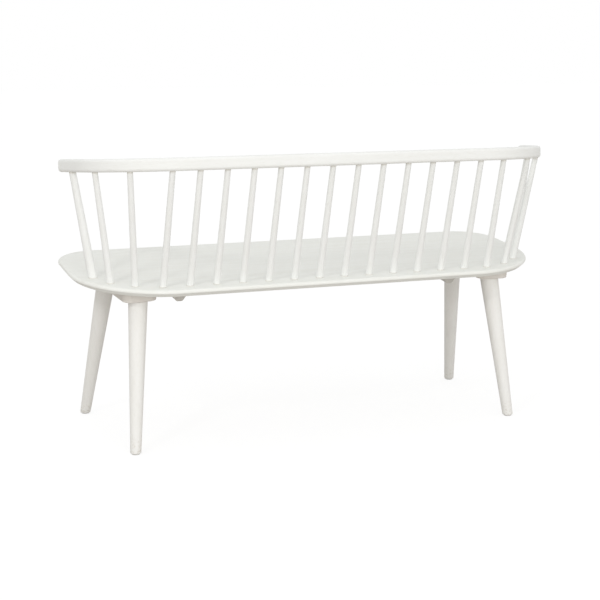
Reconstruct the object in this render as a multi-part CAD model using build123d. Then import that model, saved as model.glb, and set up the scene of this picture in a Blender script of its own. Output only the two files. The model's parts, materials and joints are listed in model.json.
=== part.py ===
from build123d import *
import os
from math import sin, cos, tan, radians

os.makedirs("parts", exist_ok=True)

# Driving dimensions in millimetres and degrees
overall_height = 726.0

seat_length = 1252.0
seat_depth = 448.0
seat_front_height = 444.0
seat_tilt = 5.0
seat_thickness = 18.0
seat_front_radius = 106.0
seat_rear_radius = 230.0
seat_edge_round = 6.5
seat_bevel_in = 10.0
seat_bevel_up = 10.0
scoop_depth = 2.5
scoop_lead = 0.5
scoop_margin = 56.0
scoop_width = 44.0

back_spindles = 14
side_names = ("corner_spindle", "arm_spindle", "arm_post")
row_rear_inset = 38.0
row_end_inset = 41.0
row_corner_radius = 172.5
row_sweep = 74.7
top_gather = 4.4
corner_top_length = 101.0
arm_top_length = 202.0
post_top_length = 307.0
spindle_base_d = 17.5
spindle_top_d = 14.0
post_base_d = 22.5
post_top_d = 17.0
socket_seat_depth = 12.0
socket_rail_depth = 14.0
seat_collar = 3.0
rail_collar = 4.0

rail_height = 31.0
rail_thickness = 24.0
rail_edge_round = 7.5
rail_end_round = 9.0
rail_overhang = 21.0
rail_bend_radius = 232.4
rail_bend_angle = 76.5
rail_arm_tail = 101.0
rail_tilt = 4.3
rail_lean_back = 88.0

leg_top_d = 48.0
leg_foot_d = 27.0
leg_foot_round = 2.0
front_leg_end_inset = 127.0
front_leg_edge_inset = 93.0
front_leg_out_angle = 6.7
front_leg_fore_angle = 14.0
rear_leg_end_inset = 145.0
rear_leg_edge_inset = 105.0
rear_leg_out_angle = 4.75
rear_leg_back_angle = 10.75

batten_width = 87.0
batten_depth = 27.0
batten_overhang = 31.0
batten_outset = 1.2
batten_turn = 2.0
batten_corner_round = 21.5
batten_edge_round = 3.0
cleat_end_inset = 254.5
cleat_width = 34.0
cleat_depth = 43.5
cleat_bevel_in = 9.5
cleat_bevel_up = 12.5
cleat_edge_round = 7.0
cleat_rear_inset = 120.0
cleat_front_inset = 92.0

bolt_d = 8.0
bolt_in_leg = 38.0
bolt_in_batten = 15.0
insert_d = 12.0
insert_recess = 2.5
screw_d = 4.5
screw_head_d = 9.0
screw_head_depth = 3.0
screw_bite = 12.0
screw_slot_length = 5.0
screw_slot_width = 1.2
screw_slot_depth = 1.6
batten_screw_spacing = 100.0
batten_screw_offset = 18.0
cleat_screw_spacing = 85.0

glide_d = 20.0
glide_thickness = 3.0
glide_edge_round = 1.0
glide_pin_d = 3.0
glide_pin_length = 12.0

fit_gap = 0.1

# Positions that follow from the driving dimensions, measured from the back row of spindles
seat_rear = row_rear_inset
seat_front = seat_rear - seat_depth
row_straight = seat_length / 2 - row_end_inset - row_corner_radius
row_reach = row_straight + row_corner_radius * radians(row_sweep)
spindle_pitch = row_reach / (len(side_names) + (back_spindles - 1) / 2)
back_reach = spindle_pitch * (back_spindles - 1) / 2
bend = radians(rail_bend_angle)
rail_tip_x = seat_length / 2 + rail_overhang - rail_thickness / 2 * sin(bend)
half_back = rail_tip_x - rail_bend_radius * sin(bend) - rail_arm_tail * cos(bend)
rail_reach = half_back + rail_bend_radius * bend + rail_arm_tail
front_leg_x = seat_length / 2 - front_leg_end_inset
front_leg_y = seat_front + front_leg_edge_inset
rear_leg_x = seat_length / 2 - rear_leg_end_inset
rear_leg_y = seat_rear - rear_leg_edge_inset
cleat_x = seat_length / 2 - cleat_end_inset
cleat_rear = seat_rear - cleat_rear_inset
cleat_front = seat_front + cleat_front_inset

# Reference planes: the seat top and the middle of the rail
row_height = seat_front_height + seat_front * sin(radians(seat_tilt))
seat_plane = Plane(
    origin=(0, 0, row_height),
    x_dir=(1, 0, 0),
    z_dir=(0, sin(radians(seat_tilt)), cos(radians(seat_tilt))),
)
rail_rise = (
    (rail_height / 2 - rail_edge_round) * cos(radians(rail_tilt))
    + (rail_thickness / 2 - rail_edge_round) * sin(radians(rail_tilt))
    + rail_edge_round
)
rail_plane = Plane(
    origin=(0, rail_lean_back, overall_height - rail_rise),
    x_dir=(1, 0, 0),
    z_dir=(0, -sin(radians(rail_tilt)), cos(radians(rail_tilt))),
)

pieces = {}


def on_plane(plane, x, y, z):
    return plane.from_local_coords(Vector(x, y, z))


def rod(point, direction, radius, length):
    return Plane(origin=point, z_dir=direction) * Cylinder(
        radius, length, align=(Align.CENTER, Align.CENTER, Align.MIN)
    )


def turned(profile):
    outline = [(0, profile[0][1])] + list(profile) + [(0, profile[-1][1])]
    return revolve(Plane.XZ * make_face(Polyline(*outline, close=True)), Axis.Z)


def single(shape):
    return shape.solids()[0]


# Outline of the seat at a given inset, drawn flat with its rear edge towards +Y
def seat_outline(inset):
    half = seat_length / 2 - inset
    rear = seat_rear - inset
    front = seat_front + inset
    r_rear = max(seat_rear_radius - inset, seat_edge_round)
    r_front = max(seat_front_radius - inset, seat_edge_round)
    edges = [
        Line((-half + r_rear, rear), (half - r_rear, rear)),
        CenterArc((half - r_rear, rear - r_rear), r_rear, 90, -90),
        Line((half, rear - r_rear), (half, front + r_front)),
        CenterArc((half - r_front, front + r_front), r_front, 0, -90),
        Line((half - r_front, front), (-half + r_front, front)),
        CenterArc((-half + r_front, front + r_front), r_front, -90, -90),
        Line((-half, front + r_front), (-half, rear - r_rear)),
        CenterArc((-half + r_rear, rear - r_rear), r_rear, 180, -90),
    ]
    return make_face(edges)


# Seat plank: bevelled below, rounded above, with a shallow scoop
seat = extrude(seat_outline(0), amount=-seat_thickness)
under = seat.faces().sort_by(Axis.Z)[0]
seat = chamfer(under.edges(), length=seat_bevel_in, length2=seat_bevel_up, reference=under)
seat = fillet(seat.faces().sort_by(Axis.Z)[-1].edges(), seat_edge_round)
scoop_spread = scoop_width / scoop_depth * scoop_lead
scoop = loft(
    [
        Pos(0, 0, scoop_lead) * seat_outline(scoop_margin - scoop_spread),
        Pos(0, 0, -scoop_depth) * seat_outline(scoop_margin + scoop_width),
    ],
    ruled=True,
)
seat = seat - scoop
seat = seat_plane * seat

# Point at a distance along a line that runs straight, bends forward, then runs straight again
def along(run, straight, radius, sweep):
    angle = min(max((run - straight) / radius, 0), sweep)
    rest = max(run - straight - radius * sweep, 0)
    x = min(run, straight) + radius * sin(angle) + rest * cos(sweep)
    y = -radius * (1 - cos(angle)) - rest * sin(sweep)
    return x, y


def row_point(run):
    return along(run, row_straight, row_corner_radius, radians(row_sweep))


def rail_point(run):
    return along(run, half_back, rail_bend_radius, bend)


# Top rail: a flat U whose arms open outwards, with rounded edges and ends
def rail_edge(side, offset):
    radius = rail_bend_radius + offset
    stop = Vector(
        side * (half_back + radius * sin(bend)),
        -rail_bend_radius + radius * cos(bend),
    )
    tip = stop + Vector(side * cos(bend), -sin(bend)) * rail_arm_tail
    arc = CenterArc(
        (side * half_back, -rail_bend_radius), radius, 90, -side * rail_bend_angle
    )
    return [arc, Line(stop, tip)], tip


rail_edges = []
for side in (1, -1):
    outer, outer_tip = rail_edge(side, rail_thickness / 2)
    inner, inner_tip = rail_edge(side, -rail_thickness / 2)
    rail_edges += outer + inner + [Line(outer_tip, inner_tip)]
for y in (rail_thickness / 2, -rail_thickness / 2):
    rail_edges.append(Line((-half_back, y), (half_back, y)))
rail_face = make_face(rail_edges)
rail_face = fillet(rail_face.vertices().sort_by(Axis.Y)[:4], rail_end_round)
rail = Pos(0, 0, -rail_height / 2) * extrude(rail_face, amount=rail_height)
rail_faces = rail.faces().sort_by(Axis.Z)
rail = fillet(rail_faces[0].edges() + rail_faces[-1].edges(), rail_edge_round)
rail = rail_plane * rail


# Spindle stations: each axis aims at the rail's centre line halfway up its socket,
# and is given by the points where it meets the seat top and the rail underside
def station(base, rail_x, rail_y):
    aim = on_plane(rail_plane, rail_x, rail_y, (socket_rail_depth - rail_height) / 2)
    start = rail_plane.to_local_coords(base).Z
    end = rail_plane.to_local_coords(aim).Z
    share = (-rail_height / 2 - start) / (end - start)
    return base, base + (aim - base) * share


def upright(side, row_run, rail_run):
    base_x, base_y = row_point(row_run)
    top_x, top_y = rail_point(rail_run)
    return station(on_plane(seat_plane, side * base_x, base_y, 0), side * top_x, top_y)


stations = []
top_share = 1 - top_gather / back_reach
for i in range(back_spindles):
    run = (i - (back_spindles - 1) / 2) * spindle_pitch
    side = 1 if run > 0 else -1
    place = upright(side, abs(run), abs(run) * top_share)
    stations.append((f"back_spindle_{i + 1:02d}", place, spindle_base_d, spindle_top_d))
for i, top_length in enumerate((corner_top_length, arm_top_length, post_top_length)):
    is_post = i == len(side_names) - 1
    base_d = post_base_d if is_post else spindle_base_d
    top_d = post_top_d if is_post else spindle_top_d
    for word, side in (("left", 1), ("right", -1)):
        place = upright(side, back_reach + (i + 1) * spindle_pitch, back_reach - top_gather + top_length)
        stations.append((f"{side_names[i]}_{word}", place, base_d, top_d))

seat_sockets = []
rail_sockets = []
for name, (base, top), base_d, top_d in stations:
    axis = (top - base).normalized()
    length = (top - base).length
    low = -socket_seat_depth + fit_gap
    high = length + socket_rail_depth - fit_gap
    shape = turned(
        [
            (base_d / 2, low),
            (base_d / 2, seat_collar),
            (top_d / 2, length - rail_collar),
            (top_d / 2, high),
        ]
    )
    pieces[name] = single(Plane(origin=base, z_dir=axis) * shape)
    seat_sockets.append(
        rod(base - axis * socket_seat_depth, axis, base_d / 2 + fit_gap, 2 * socket_seat_depth)
    )
    rail_sockets.append(
        rod(top - axis * socket_rail_depth, axis, top_d / 2 + fit_gap, 2 * socket_rail_depth)
    )

rail = rail - rail_sockets

# Leg axes: each runs down from the batten underside and splays outwards
batten_face = -seat_thickness - batten_depth


def leg_axis(x, y, out, lengthwise):
    top = on_plane(seat_plane, x, y, batten_face)
    side = 1 if x > 0 else -1
    down = Vector(side * tan(radians(out)), tan(radians(lengthwise)), -1).normalized()
    return top, down


legs = {}
for word, side in (("left", 1), ("right", -1)):
    legs[f"front_{word}"] = leg_axis(
        side * front_leg_x, front_leg_y, front_leg_out_angle, -front_leg_fore_angle
    )
    legs[f"rear_{word}"] = leg_axis(
        side * rear_leg_x, rear_leg_y, rear_leg_out_angle, rear_leg_back_angle
    )

# Blocks that trim each leg to the batten underside and to the top of its glide
big = 4 * leg_top_d
leg_limit = seat_plane * (
    Pos(0, 0, batten_face) * Box(2 * seat_length, 2 * seat_length, big, align=(
        Align.CENTER, Align.CENTER, Align.MIN))
)
floor_limit = Pos(0, 0, glide_thickness) * Box(
    2 * seat_length, 2 * seat_length, big, align=(Align.CENTER, Align.CENTER, Align.MAX)
)

batten_bores = {"left": [], "right": []}
for corner, (top, down) in legs.items():
    reach = (top.Z - glide_thickness) / -down.Z
    slope = (leg_top_d - leg_foot_d) / 2 / reach
    spare = leg_foot_d
    shape = turned(
        [
            (leg_top_d / 2 + slope * spare, -spare),
            (leg_foot_d / 2 - slope * spare, reach + spare),
        ]
    )
    leg = Plane(origin=top, z_dir=down) * shape
    leg = leg - leg_limit - floor_limit
    foot_face = leg.faces().sort_by(Axis.Z)[0]
    leg = fillet(foot_face.edges(), leg_foot_round)
    foot = top + down * reach
    up = Vector(0, 0, 1)

    pin_hole = rod(
        foot - up * glide_thickness,
        up,
        glide_pin_d / 2 + fit_gap,
        glide_thickness + glide_pin_length + fit_gap,
    )
    bolt_hole = rod(
        top - down * bolt_in_leg, down, bolt_d / 2 + fit_gap, 2 * bolt_in_leg + fit_gap
    )
    pieces[f"leg_{corner}"] = single(leg - pin_hole - bolt_hole)

    pin = rod(foot, up, glide_pin_d / 2, glide_pin_length)
    disc = rod(foot - up * glide_thickness, up, glide_d / 2, glide_thickness)
    disc = fillet(disc.edges().sort_by(Axis.Z)[0], glide_edge_round)
    pieces[f"foot_glide_{corner}"] = single(disc + pin)

    pieces[f"leg_bolt_{corner}"] = single(
        rod(top - down * bolt_in_batten, down, bolt_d / 2, bolt_in_batten + bolt_in_leg)
    )
    insert_length = bolt_in_batten - insert_recess
    insert_start = top - down * bolt_in_batten
    pieces[f"leg_insert_{corner}"] = single(
        rod(insert_start, down, insert_d / 2, insert_length)
        - rod(insert_start, down, bolt_d / 2 + fit_gap, insert_length)
    )
    batten_bores[corner.split("_")[1]].append(
        rod(
            top - down * (bolt_in_batten + fit_gap),
            down,
            insert_d / 2 + fit_gap,
            2 * bolt_in_batten,
        )
    )


# Countersunk screw standing on its head, and the hole that clears it
def screw_shape(length, extra):
    return turned(
        [
            (screw_head_d / 2 + extra, 0),
            (screw_d / 2 + extra, screw_head_depth),
            (screw_d / 2 + extra, length + extra),
        ]
    )


def screw(length):
    slot = Box(screw_slot_length, screw_slot_width, 2 * screw_slot_depth)
    return screw_shape(length, 0) - slot - Rot(0, 0, 90) * slot


for word, side in (("left", 1), ("right", -1)):
    # Batten under one pair of legs, turned a little past the line of the leg tops, with round corners
    front = Vector(side * front_leg_x, front_leg_y, 0)
    rear = Vector(side * rear_leg_x, rear_leg_y, 0)
    run = rear - front
    heading = run.normalized().rotate(Axis.Z, side * batten_turn)
    across = Vector(heading.Y, -heading.X, 0)
    middle = rear - heading * (run.length / 2) + across * (side * batten_outset)
    batten_frame = Plane(
        origin=(middle.X, middle.Y, -seat_thickness),
        x_dir=across,
        z_dir=(0, 0, 1),
    )
    batten_length = run.length + 2 * batten_overhang
    batten = Box(
        batten_width,
        batten_length,
        batten_depth,
        align=(Align.CENTER, Align.CENTER, Align.MAX),
    )
    batten = fillet(batten.edges().filter_by(Axis.Z), batten_corner_round)
    batten = fillet(batten.faces().sort_by(Axis.Z)[0].edges(), batten_edge_round)
    batten = seat_plane * (batten_frame.location * batten)
    batten = batten - batten_bores[word]
    spots = [
        (dx * batten_screw_offset, dy * batten_screw_spacing / 2)
        for dx in (-1, 1)
        for dy in (-1, 1)
    ]
    screw_length = batten_depth + screw_bite
    places = [
        seat_plane.location * batten_frame.location * Pos(x, y, -batten_depth) for x, y in spots
    ]
    holes = [p * screw_shape(screw_length, fit_gap) for p in places]
    pieces[f"leg_batten_{word}"] = single(batten - holes)
    seat = seat - holes
    pieces[f"batten_screws_{word}"] = Compound([single(p * screw(screw_length)) for p in places])

    # Cleat further in, deeper and narrower, with its lower edges bevelled
    cleat_length = cleat_rear - cleat_front
    cleat_middle = (cleat_rear + cleat_front) / 2
    cleat = Box(
        cleat_width, cleat_length, cleat_depth, align=(Align.CENTER, Align.CENTER, Align.MAX)
    )
    low = cleat.faces().sort_by(Axis.Z)[0]
    cleat = chamfer(
        low.edges().filter_by(Axis.Y), length=cleat_bevel_in, length2=cleat_bevel_up, reference=low
    )
    low = cleat.faces().sort_by(Axis.Z)[0]
    cleat = fillet(low.edges().filter_by(Axis.Y), cleat_edge_round)
    cleat_place = seat_plane.location * Pos(side * cleat_x, cleat_middle, -seat_thickness)
    screw_length = cleat_depth + screw_bite
    places = [
        cleat_place * Pos(0, k * cleat_screw_spacing, -cleat_depth) for k in (-1, 0, 1)
    ]
    holes = [p * screw_shape(screw_length, fit_gap) for p in places]
    pieces[f"seat_cleat_{word}"] = single(cleat_place * cleat - holes)
    seat = seat - holes
    pieces[f"cleat_screws_{word}"] = Compound([single(p * screw(screw_length)) for p in places])

seat = seat - seat_sockets
pieces["seat"] = single(seat)
pieces["top_rail"] = single(rail)

# Centre the bench over the origin, feet on the floor
reach_rear = max(p.bounding_box().max.Y for p in pieces.values())
reach_front = min(p.bounding_box().min.Y for p in pieces.values())
centre = Pos(0, -(reach_rear + reach_front) / 2, 0)
for name, piece in pieces.items():
    export_step(centre * piece, f"parts/{name}.step")
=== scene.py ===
import bpy
import json
from math import cos, radians, sin
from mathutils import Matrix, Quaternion, Vector

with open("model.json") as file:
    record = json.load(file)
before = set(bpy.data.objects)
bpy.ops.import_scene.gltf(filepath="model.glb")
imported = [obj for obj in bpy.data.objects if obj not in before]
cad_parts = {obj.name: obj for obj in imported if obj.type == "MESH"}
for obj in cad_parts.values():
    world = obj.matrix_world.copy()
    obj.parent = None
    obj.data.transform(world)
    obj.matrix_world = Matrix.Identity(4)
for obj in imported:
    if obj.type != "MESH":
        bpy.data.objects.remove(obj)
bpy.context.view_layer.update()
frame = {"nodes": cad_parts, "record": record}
nodes = frame["nodes"]
scene = bpy.context.scene
bpy.ops.object.select_all(action="DESELECT")
print("bench loaded:", len(nodes), "pieces")


# small helpers for wiring a material
def newMaterial(name):
    material = bpy.data.materials.new(name)
    material.use_nodes = True
    tree = material.node_tree
    return material, tree, tree.nodes["Principled BSDF"]


def addNode(tree, kind, **settings):
    node = tree.nodes.new(kind)
    for key, value in settings.items():
        if key in node.inputs:
            node.inputs[key].default_value = value
        else:
            setattr(node, key, value)
    return node


def mathNode(tree, operation, first, second=None):
    node = addNode(tree, "ShaderNodeMath", operation=operation)
    for slot, value in enumerate((first, second)):
        if value is None:
            continue
        if isinstance(value, (int, float)):
            node.inputs[slot].default_value = value
        else:
            tree.links.new(value, node.inputs[slot])
    return node.outputs[0]


def pieceCoords(tree):
    return addNode(tree, "ShaderNodeTexCoord").outputs["Object"]


def splitVector(tree, vector):
    split = addNode(tree, "ShaderNodeSeparateXYZ")
    tree.links.new(vector, split.inputs["Vector"])
    return split.outputs


def stretchVector(tree, vector, stretch):
    mapping = addNode(tree, "ShaderNodeMapping", Scale=stretch)
    tree.links.new(vector, mapping.inputs["Vector"])
    return mapping.outputs["Vector"]


def noiseNode(tree, vector, scale, detail, roughness):
    noise = addNode(tree, "ShaderNodeTexNoise", Scale=scale, Detail=detail, Roughness=roughness)
    tree.links.new(vector, noise.inputs["Vector"])
    return noise.outputs["Fac"]


def rangeNode(tree, value, low, high, first=0.0, last=1.0):
    span = addNode(tree, "ShaderNodeMapRange")
    limits = {"From Min": low, "From Max": high, "To Min": first, "To Max": last}
    for key, number in limits.items():
        span.inputs[key].default_value = number
    tree.links.new(value, span.inputs["Value"])
    return span.outputs["Result"]


def toneNode(tree, share, first, second):
    tone = addNode(tree, "ShaderNodeMixRGB", Color1=(*first, 1), Color2=(*second, 1))
    tree.links.new(share, tone.inputs["Fac"])
    return tone.outputs["Color"]


def tintNode(tree, share, base, tint):
    layer = addNode(tree, "ShaderNodeMixRGB", blend_type="MULTIPLY", Color2=(*tint, 1))
    tree.links.new(share, layer.inputs["Fac"])
    tree.links.new(base, layer.inputs["Color1"])
    return layer.outputs["Color"]


def bumpNode(tree, height, strength, distance, below=None, invert=False):
    bump = addNode(tree, "ShaderNodeBump", Strength=strength, Distance=distance, invert=invert)
    tree.links.new(height, bump.inputs["Height"])
    if below:
        tree.links.new(below, bump.inputs["Normal"])
    return bump.outputs["Normal"]


# planes that the sticks and legs meet: height over the middle of the bench, rise towards its back
meetingPlanes = {
    "seatTop": (0.42266, -0.08749),
    "railUnder": (0.67565, 0.07519),
    "battenUnder": (0.37749, -0.08749),
}


def overPlane(tree, plain, plane):
    height, rise = meetingPlanes[plane]
    axes = splitVector(tree, plain)
    level = mathNode(tree, "ADD", mathNode(tree, "MULTIPLY", axes["Y"], rise), height)
    return mathNode(tree, "SUBTRACT", axes["Z"], level)


# what all the paint shares
paintCoat = {
    "grainNoise": (6.0, 0.62),  # detail and roughness
    "poreNoise": (3.0, 0.5),
    "cloudNoise": (2.0, 0.5),
    "skinNoise": (2.0, 0.5),
    "grainRange": (0.38, 0.68),  # where the noise starts to show, and shows in full
    "poreRange": (0.54, 0.72),
    "fineDepth": 0.0004,
    "grainDepth": 0.001,
    "ior": 1.47,
}


# low-sheen white paint over wood: faint grain, filled pores, a sprayed skin, and an optional dark
# overlay of joint lines and scuffs with painted shade
def whitePaint(name, look, vectors=None, shadeAndMarks=None):
    material, tree, shader = newMaterial(name)
    plain = pieceCoords(tree)
    unrolled = vectors(tree, plain) if vectors else plain
    along = stretchVector(tree, unrolled, look["stretch"])

    grain = noiseNode(tree, along, look["grainScale"], *paintCoat["grainNoise"])
    pores = noiseNode(tree, along, look["poreScale"], *paintCoat["poreNoise"])
    cloud = noiseNode(tree, plain, look["cloudScale"], *paintCoat["cloudNoise"])
    skin = noiseNode(tree, plain, look["skinScale"], *paintCoat["skinNoise"])
    grainLines = rangeNode(tree, grain, *paintCoat["grainRange"])
    poreLines = rangeNode(tree, pores, *paintCoat["poreRange"])

    colour = toneNode(tree, cloud, look["paint"], look["paintShade"])
    colour = tintNode(tree, grainLines, colour, look["grainTint"])
    colour = tintNode(tree, poreLines, colour, look["poreTint"])
    # the overlay: dark joint lines and scuffs, plus painted shade just below the rail and the
    # battens
    if shadeAndMarks:
        colour = tintNode(tree, shadeAndMarks(tree, plain), colour, look["shadeAndMarkTint"])
    tree.links.new(colour, shader.inputs["Base Color"])

    rough = rangeNode(tree, grain, 0.0, 1.0, look["roughLow"], look["roughHigh"])
    tree.links.new(rough, shader.inputs["Roughness"])
    relief = bumpNode(tree, skin, look["skinBump"], paintCoat["fineDepth"])
    relief = bumpNode(tree, poreLines, look["poreBump"], paintCoat["fineDepth"], relief, True)
    relief = bumpNode(tree, grain, look["grainBump"], paintCoat["grainDepth"], relief)
    tree.links.new(relief, shader.inputs["Normal"])
    shader.inputs["IOR"].default_value = paintCoat["ior"]
    return material


# seat plank: grain runs along the bench
seatLook = {
    "paint": (0.855, 0.862, 0.825),
    "paintShade": (0.83, 0.838, 0.80),
    "grainTint": (0.975, 0.972, 0.962),
    "poreTint": (0.955, 0.948, 0.93),
    "stretch": (1.6, 26.0, 26.0),
    "grainScale": 2.2,
    "poreScale": 34.0,
    "cloudScale": 3.5,
    "skinScale": 650.0,
    "roughLow": 0.55,
    "roughHigh": 0.72,
    "grainBump": 0.35,
    "poreBump": 0.30,
    "skinBump": 0.06,
}
seatPaint = whitePaint("seatPaint", seatLook)

# bent rail: the grain follows the bend, so its coordinates are unrolled along it
railLook = dict(seatLook)
railLook.update({
    "paint": (0.858, 0.866, 0.847),
    "paintShade": (0.838, 0.846, 0.824),
    "stretch": (1.8, 30.0, 30.0),
    "straightHalf": 0.3858,
    "bendCentre": 0.0208,
    "bendRadius": 0.2324,
    "bendAngle": radians(76.5),
})


def railVectors(tree, plain):
    axes = splitVector(tree, plain)
    half = railLook["straightHalf"]
    stop = railLook["bendAngle"]
    reach = mathNode(tree, "ABSOLUTE", axes["X"])
    past = mathNode(tree, "MAXIMUM", mathNode(tree, "SUBTRACT", reach, half), 0.0)
    depth = mathNode(tree, "SUBTRACT", axes["Y"], railLook["bendCentre"])

    # length along the rail: straight back, bend, then the arm beyond it
    outward = mathNode(tree, "MULTIPLY", past, cos(stop))
    forward = mathNode(tree, "MULTIPLY", depth, sin(stop))
    arm = mathNode(tree, "MAXIMUM", mathNode(tree, "SUBTRACT", outward, forward), 0.0)
    turn = mathNode(tree, "MINIMUM", mathNode(tree, "ARCTAN2", past, depth), stop)
    arc = mathNode(tree, "MULTIPLY", turn, railLook["bendRadius"])
    flat = mathNode(tree, "MINIMUM", reach, half)
    length = mathNode(tree, "ADD", mathNode(tree, "ADD", flat, arc), arm)
    run = mathNode(tree, "MULTIPLY", length, mathNode(tree, "SIGN", axes["X"]))

    # distance from the middle of the bend
    pastSquare = mathNode(tree, "MULTIPLY", past, past)
    depthSquare = mathNode(tree, "MULTIPLY", depth, depth)
    armSquare = mathNode(tree, "MULTIPLY", arm, arm)
    squares = mathNode(tree, "ADD", pastSquare, depthSquare)
    radius = mathNode(tree, "SQRT", mathNode(tree, "SUBTRACT", squares, armSquare))

    join = addNode(tree, "ShaderNodeCombineXYZ")
    for axis, value in zip("XYZ", (run, radius, axes["Z"])):
        tree.links.new(value, join.inputs[axis])
    return join.outputs["Vector"]


railPaint = whitePaint("railPaint", railLook, vectors=railVectors)

# spindles and posts: grain runs up the stick
spindleLook = dict(seatLook)
spindleLook.update({
    "paint": (0.865, 0.875, 0.86),
    "paintShade": (0.845, 0.853, 0.836),
    # warm dark tint for the joint lines and the painted shade
    "shadeAndMarkTint": (0.80, 0.77, 0.72),
    "stretch": (34.0, 34.0, 2.0),
    "grainScale": 2.6,
    # foot: a dark joint line with painted contact shade where the stick enters the seat; head:
    # painted shade on the stick just below the rail
    "footJointAndShade": (0.0004, 0.0030, 0.8, 0.0),  # from and to over the plane, share there
    "headShade": (-0.0050, -0.0008, 0.0, 0.9),
})


# painted shade on each stick just below the rail, and a dark joint line with painted contact
# shade at the seat
def stickShadeAndJoints(tree, plain):
    foot = rangeNode(tree, overPlane(tree, plain, "seatTop"), *spindleLook["footJointAndShade"])
    shadeUnder = rangeNode(tree, overPlane(tree, plain, "railUnder"), *spindleLook["headShade"])
    return mathNode(tree, "MAXIMUM", foot, shadeUnder)


spindlePaint = whitePaint("spindlePaint", spindleLook, shadeAndMarks=stickShadeAndJoints)

# legs: as the spindles, a little coarser, with slight scuffs near the floor and painted shade
# just below the battens
legLook = dict(seatLook)
legLook.update({
    "paint": (0.868, 0.864, 0.838),
    "paintShade": (0.845, 0.84, 0.812),
    # warm dark tint for the scuffs and the painted shade
    "shadeAndMarkTint": (0.80, 0.77, 0.72),
    "stretch": (24.0, 24.0, 1.6),
    "grainScale": 2.6,
    # head: painted shade on the leg just below its batten
    "headShade": (-0.0040, -0.0006, 0.0, 0.7),
    "scuffFade": (0.004, 0.05, 1.0, 0.0),  # heights over the floor, share there
    "scuffScale": 140.0,
    "scuffNoise": (4.0, 0.6),
    "scuffRange": (0.50, 0.68),
})


# painted shade just below the battens, and scuffs near the floor
def legShadeAndScuffs(tree, plain):
    shadeUnder = rangeNode(tree, overPlane(tree, plain, "battenUnder"), *legLook["headShade"])
    low = rangeNode(tree, splitVector(tree, plain)["Z"], *legLook["scuffFade"])
    blots = noiseNode(tree, plain, legLook["scuffScale"], *legLook["scuffNoise"])
    scuff = rangeNode(tree, blots, *legLook["scuffRange"])
    return mathNode(tree, "MAXIMUM", shadeUnder, mathNode(tree, "MULTIPLY", low, scuff))


legPaint = whitePaint("legPaint", legLook, shadeAndMarks=legShadeAndScuffs)

# leg battens: grain runs from front to back; their darker, warmer tone is partly a warmer coat
# and partly painted shade under the seat
shadedBattenLook = dict(seatLook)
shadedBattenLook.update({
    "paint": (0.755, 0.725, 0.683),
    "paintShade": (0.715, 0.68, 0.635),
    "stretch": (24.0, 1.6, 24.0),
})
shadedBattenPaint = whitePaint("shadedBattenPaint", shadedBattenLook)

# cleats: darker grey-brown paint, painted shade for their place deep under the seat
shadedCleatLook = dict(shadedBattenLook)
shadedCleatLook.update({
    "paint": (0.60, 0.585, 0.55),
    "paintShade": (0.53, 0.51, 0.475),
})
shadedCleatPaint = whitePaint("shadedCleatPaint", shadedCleatLook)

# zinc plated screws, bolts and inserts
steelLook = {
    "zinc": (0.60, 0.61, 0.62),
    "dull": (0.46, 0.47, 0.49),
    "speckScale": 420.0,
    "speckNoise": (3.0, 0.5),
    "roughLow": 0.28,
    "roughHigh": 0.46,
}


def zincMaterial(look):
    material, tree, shader = newMaterial("zincSteel")
    specks = noiseNode(tree, pieceCoords(tree), look["speckScale"], *look["speckNoise"])
    colour = toneNode(tree, specks, look["zinc"], look["dull"])
    tree.links.new(colour, shader.inputs["Base Color"])
    rough = rangeNode(tree, specks, 0.0, 1.0, look["roughLow"], look["roughHigh"])
    tree.links.new(rough, shader.inputs["Roughness"])
    shader.inputs["Metallic"].default_value = 1.0
    return material


zincSteel = zincMaterial(steelLook)

# pale moulded glides under the feet
glideLook = {
    "plastic": (0.78, 0.78, 0.76),
    "scuff": (0.66, 0.655, 0.635),
    "grainScale": 900.0,
    "grainNoise": (2.0, 0.5),
    "grainBump": 0.2,
    "grainDepth": 0.0004,
    "rough": 0.55,
}


def glideMaterial(look):
    material, tree, shader = newMaterial("glidePlastic")
    grain = noiseNode(tree, pieceCoords(tree), look["grainScale"], *look["grainNoise"])
    colour = toneNode(tree, grain, look["plastic"], look["scuff"])
    tree.links.new(colour, shader.inputs["Base Color"])
    relief = bumpNode(tree, grain, look["grainBump"], look["grainDepth"])
    tree.links.new(relief, shader.inputs["Normal"])
    shader.inputs["Roughness"].default_value = look["rough"]
    return material


glidePlastic = glideMaterial(glideLook)
print("paints, metal and plastic made")

# each piece takes the finish of its slot, the cleats their darker paint with painted shade
finishes = {
    "seat_paint": seatPaint,
    "rail_paint": railPaint,
    "spindle_paint": spindlePaint,
    "leg_paint": legPaint,
    "batten_paint": shadedBattenPaint,
    "zinc_steel": zincSteel,
    "glide_plastic": glidePlastic,
}
for part in frame["record"]["subparts"]:
    finish = finishes[part["material_slot"]]
    if part["node"].startswith("seat_cleat"):
        finish = shadedCleatPaint
    piece = nodes[part["node"]]
    piece.data.materials.clear()
    piece.data.materials.append(finish)
print("pieces painted")

# floor, room and lamps
studio = {
    "floorSize": 40.0,
    "floorTone": (0.56, 0.53, 0.50),  # what the floor throws back at the bench
    "floorSeen": (0.90, 0.90, 0.895),
    "floorGlow": 0.75,  # share of plain white in what is seen of it
    "floorWhite": 1.095,
    "roomLight": 0.82,
    "roomSeen": 1.0,
    "key": {"place": (0.6, 5.3, 1.2), "aim": (0.0, 0.0, 0.45), "size": 2.6, "power": 84.0},
    "side": {"place": (2.7, 2.3, 2.7), "aim": (0.0, 0.0, 0.45), "size": 0.45, "power": 18.5},
}


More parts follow.
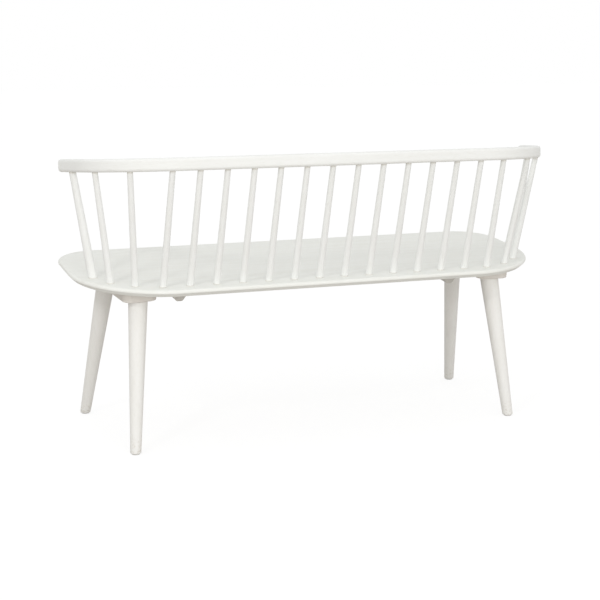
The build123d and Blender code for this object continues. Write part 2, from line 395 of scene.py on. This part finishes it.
# 1 for what is seen directly, in gloss or through glass, 0 for what only lights the bench
def seenMask(tree):
    path = addNode(tree, "ShaderNodeLightPath")
    direct, gloss = path.outputs["Is Camera Ray"], path.outputs["Is Glossy Ray"]
    seen = mathNode(tree, "MAXIMUM", direct, gloss)
    return mathNode(tree, "MAXIMUM", seen, path.outputs["Is Transmission Ray"])


def mixShaders(tree, share, first, second, out):
    mix = addNode(tree, "ShaderNodeMixShader")
    tree.links.new(share, mix.inputs["Fac"])
    tree.links.new(first.outputs[0], mix.inputs[1])
    tree.links.new(second.outputs[0], mix.inputs[2])
    tree.links.new(mix.outputs[0], out.inputs["Surface"])


bpy.ops.mesh.primitive_plane_add(size=studio["floorSize"], location=(0, 0, 0))
floor = bpy.context.object
floor.name = "studioFloor"
floorMaterial = bpy.data.materials.new("studioFloor")
floorMaterial.use_nodes = True
floorTree = floorMaterial.node_tree
floorTree.nodes.clear()
floorOut = addNode(floorTree, "ShaderNodeOutputMaterial")
floorSight = seenMask(floorTree)
floorMatte = addNode(floorTree, "ShaderNodeBsdfDiffuse")
floorColour = toneNode(floorTree, floorSight, studio["floorTone"], studio["floorSeen"])
floorTree.links.new(floorColour, floorMatte.inputs["Color"])
floorWhite = addNode(floorTree, "ShaderNodeEmission", Strength=studio["floorWhite"])
floorShare = mathNode(floorTree, "MULTIPLY", floorSight, studio["floorGlow"])
mixShaders(floorTree, floorShare, floorMatte, floorWhite, floorOut)
floor.data.materials.append(floorMaterial)

room = bpy.data.worlds.new("studioRoom")
scene.world = room
room.use_nodes = True
roomTree = room.node_tree
roomTree.nodes.clear()
roomOut = addNode(roomTree, "ShaderNodeOutputWorld")
white = (1, 1, 1, 1)
roomLight = addNode(roomTree, "ShaderNodeBackground", Color=white, Strength=studio["roomLight"])
roomSeen = addNode(roomTree, "ShaderNodeBackground", Color=white, Strength=studio["roomSeen"])
mixShaders(roomTree, seenMask(roomTree), roomLight, roomSeen, roomOut)


def softBox(name, look):
    place = Vector(look["place"])
    bpy.ops.object.light_add(type="AREA", location=place)
    lamp = bpy.context.object
    lamp.name = name
    lamp.data.size = look["size"]
    lamp.data.energy = look["power"]
    lamp.rotation_euler = (Vector(look["aim"]) - place).to_track_quat("-Z", "Y").to_euler()


softBox("keySoftBox", studio["key"])
softBox("sideSoftBox", studio["side"])
print("studio lit")

# camera behind the bench, a little to the sitter's left
cameraLook = {
    "place": (1.32106, 3.41608, 1.01892),
    "turn": 20.808,
    "tip": 10.823,
    "roll": 0.127,
    "focal": 85.34,
    "sensor": 36.0,
    "farthest": 100.0,
}
bpy.ops.object.camera_add(location=cameraLook["place"])
camera = bpy.context.object
camera.name = "photoCamera"
camera.data.sensor_width = cameraLook["sensor"]
camera.data.lens = cameraLook["focal"]
camera.data.clip_end = cameraLook["farthest"]
turned = Quaternion((0, 0, 1), radians(180 - cameraLook["turn"]))
tipped = Quaternion((1, 0, 0), radians(90 - cameraLook["tip"]))
rolled = Quaternion((0, 0, 1), radians(cameraLook["roll"]))
camera.rotation_euler = (turned @ tipped @ rolled).to_euler()
scene.camera = camera
scene.view_settings.view_transform = "Standard"
print("camera placed")
